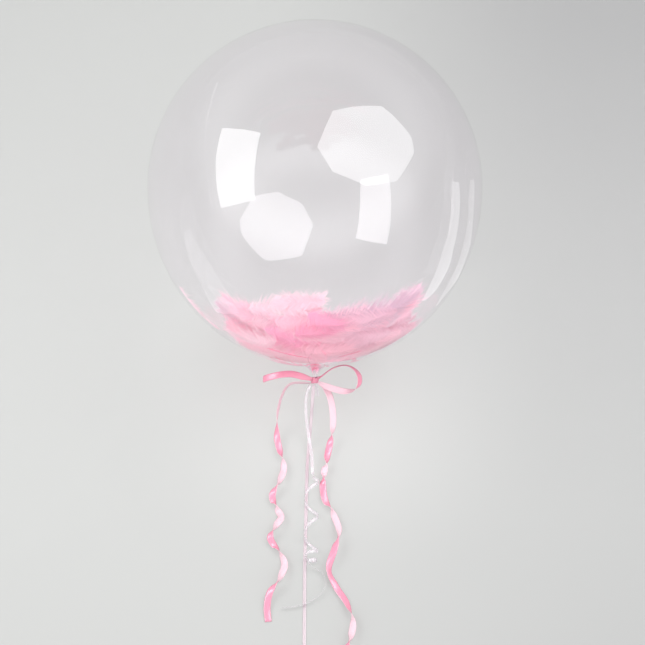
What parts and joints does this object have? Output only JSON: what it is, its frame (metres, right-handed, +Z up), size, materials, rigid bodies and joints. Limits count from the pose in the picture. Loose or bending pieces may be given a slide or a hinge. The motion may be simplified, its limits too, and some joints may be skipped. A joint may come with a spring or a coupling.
{
  "type": "clear bubble balloon",
  "caption": "Round clear film balloon with a gathered neck, feathers sealed inside, a satin bow with two curled tails, a tether and a pearly curling ribbon, lying at rest.",
  "frame": {"origin": "middle of the small flat spot that the film makes on the floor, under the bubble", "axes": "+Z up, -Y the way that the neck and the ribbons point along the floor, +X to the right seen from the neck end"},
  "size_m": [0.5098, 0.9541, 0.5146],
  "materials": {
    "clear_film": "clear, glossy",
    "pink_satin": "satin",
    "blush_ribbon": "sheer satin",
    "pearl_ribbon": "iridescent gloss",
    "feather": "downy"
  },
  "bodies": {
    "root": {"bubble_envelope": "clear_film", "ribbon_bow": "pink_satin", "bow_tail_left": "pink_satin", "bow_tail_right": "pink_satin", "tether_ribbon": "blush_ribbon", "tether_loop": "blush_ribbon", "curling_ribbon": "pearl_ribbon", "curling_ribbon_curls": "pearl_ribbon", "curling_ribbon_end": "pearl_ribbon"}
  },
  "joints": []
}
